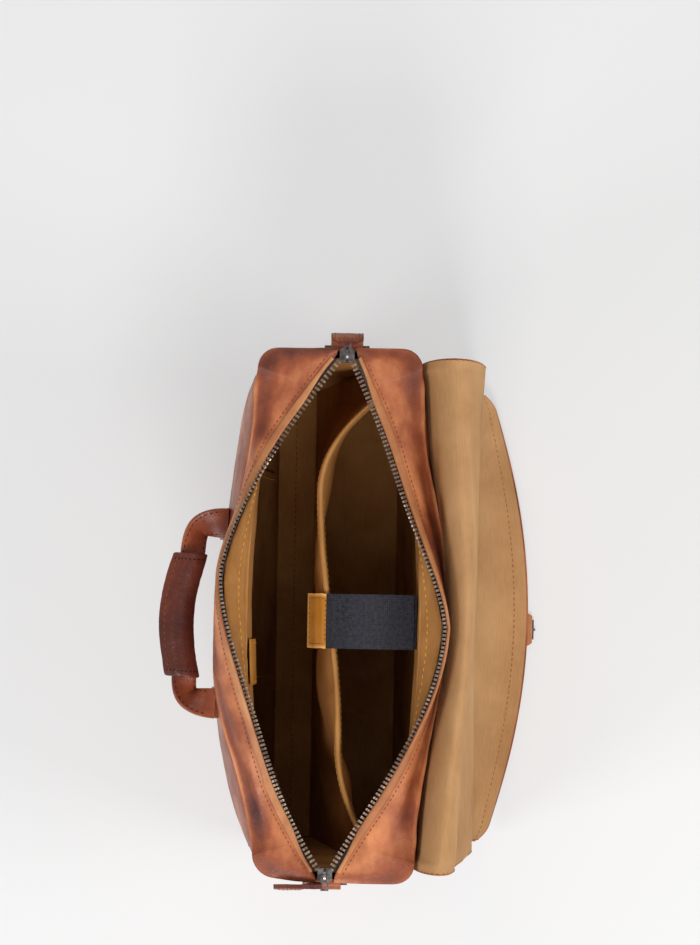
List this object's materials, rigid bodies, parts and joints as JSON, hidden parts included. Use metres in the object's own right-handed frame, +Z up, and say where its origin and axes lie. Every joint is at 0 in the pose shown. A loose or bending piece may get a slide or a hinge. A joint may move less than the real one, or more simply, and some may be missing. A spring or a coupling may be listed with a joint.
{
  "type": "leather briefcase",
  "caption": "Open soft leather briefcase with zip mouth, full flap thrown back, rolled handle, padded divider, inner strap and end rings.",
  "frame": {"origin": "centre of the base underside, where the bag stands", "axes": "+X along the bag to its right end, +Y to the back where the flap hangs, +Z up"},
  "size_m": [0.4218, 0.3041, 0.3187],
  "materials": {
    "body_leather": "worn full-grain, satin",
    "edge_leather": "burnished edge band",
    "grip_leather": "darkened by handling",
    "mustard_leather": "raw cut edges",
    "lining_cloth": "plain cotton",
    "flap_cloth": "plain cotton",
    "webbing": "woven webbing",
    "zip_tape": "woven tape",
    "dark_metal": "antiqued",
    "silver_metal": "polished",
    "base_board": "stiffening board",
    "grip_core": "matt filler"
  },
  "bodies": {
    "bag": {"base_panel": "body_leather", "base_board": "base_board", "front_panel": "body_leather", "back_panel": "body_leather", "left_gusset": "body_leather", "right_gusset": "body_leather", "front_top_strip": "body_leather", "back_top_strip": "body_leather", "front_edge_band": "edge_leather", "back_edge_band": "edge_leather", "front_zip_tape": "zip_tape", "back_zip_tape": "zip_tape", "front_zip_teeth": "dark_metal", "back_zip_teeth": "dark_metal", "left_slider": "silver_metal", "right_slider": "silver_metal", "left_ring_loop": "body_leather", "right_ring_loop": "body_leather", "front_facing": "lining_cloth", "back_facing": "lining_cloth", "front_lining": "lining_cloth", "back_lining": "lining_cloth", "left_lining": "lining_cloth", "right_lining": "lining_cloth", "floor_lining": "lining_cloth", "slip_pocket": "lining_cloth", "leather_patch": "mustard_leather", "divider": "lining_cloth", "divider_edge": "lining_cloth", "loop_patch": "webbing", "strap_anchor": "webbing", "flap_riser": "body_leather", "flap_riser_lining": "flap_cloth", "lock_base": "dark_metal", "handle_anchors": "body_leather", "anchor_rivets": "dark_metal"},
    "flap_upper": {"flap_top": "body_leather", "flap_top_lining": "flap_cloth"},
    "flap_lower": {"flap_front": "body_leather", "flap_front_lining": "flap_cloth", "clasp_tab": "body_leather", "clasp_tongue": "dark_metal", "clasp_stud": "dark_metal"},
    "handle": {"handle_grip": "grip_leather", "handle_core": "grip_core", "handle_straps": "body_leather"},
    "left_pull": {"left_pull_link": "silver_metal", "left_pull_tab": "body_leather"},
    "right_pull": {"right_pull_link": "silver_metal", "right_pull_tab": "body_leather"},
    "left_ring": {"left_d_ring": "dark_metal"},
    "right_ring": {"right_d_ring": "dark_metal"},
    "inner_strap": {"laptop_strap": "webbing", "strap_tab": "mustard_leather"}
  },
  "joints": [
    {"name": "flap_hinge", "type": "hinge", "parent": "bag", "child": "flap_upper", "pos_m": [0, 0.0947, 0.3147], "axis": [1, 0, 0], "range_deg": [0, 170]},
    {"name": "flap_fold", "type": "hinge", "parent": "flap_upper", "child": "flap_lower", "pos_m": [0, 0.1127, 0.1305], "axis": [1, 0, 0], "range_deg": [0, 90]},
    {"name": "handle_swing", "type": "hinge", "parent": "bag", "child": "handle", "pos_m": [0, -0.0906, 0.245], "axis": [-0.9985, 0.055, 0], "range_deg": [0, 65]},
    {"name": "left_pull_swing", "type": "hinge", "parent": "bag", "child": "left_pull", "pos_m": [-0.193, 0.005, 0.2939], "axis": [0, 1, 0], "range_deg": [0, 150]},
    {"name": "right_pull_swing", "type": "hinge", "parent": "bag", "child": "right_pull", "pos_m": [0.193, -0.005, 0.2939], "axis": [0, -1, 0], "range_deg": [0, 100]},
    {"name": "left_ring_swing", "type": "hinge", "parent": "bag", "child": "left_ring", "pos_m": [-0.20358, 0.005, 0.238], "axis": [0, 1, 0], "range_deg": [0, 85]},
    {"name": "right_ring_swing", "type": "hinge", "parent": "bag", "child": "right_ring", "pos_m": [0.20358, -0.005, 0.238], "axis": [0, -1, 0], "range_deg": [0, 85]},
    {"name": "strap_lift", "type": "hinge", "parent": "bag", "child": "inner_strap", "pos_m": [0.0045, 0.0598, 0.268], "axis": [-1, 0, 0], "range_deg": [0, 75]}
  ]
}
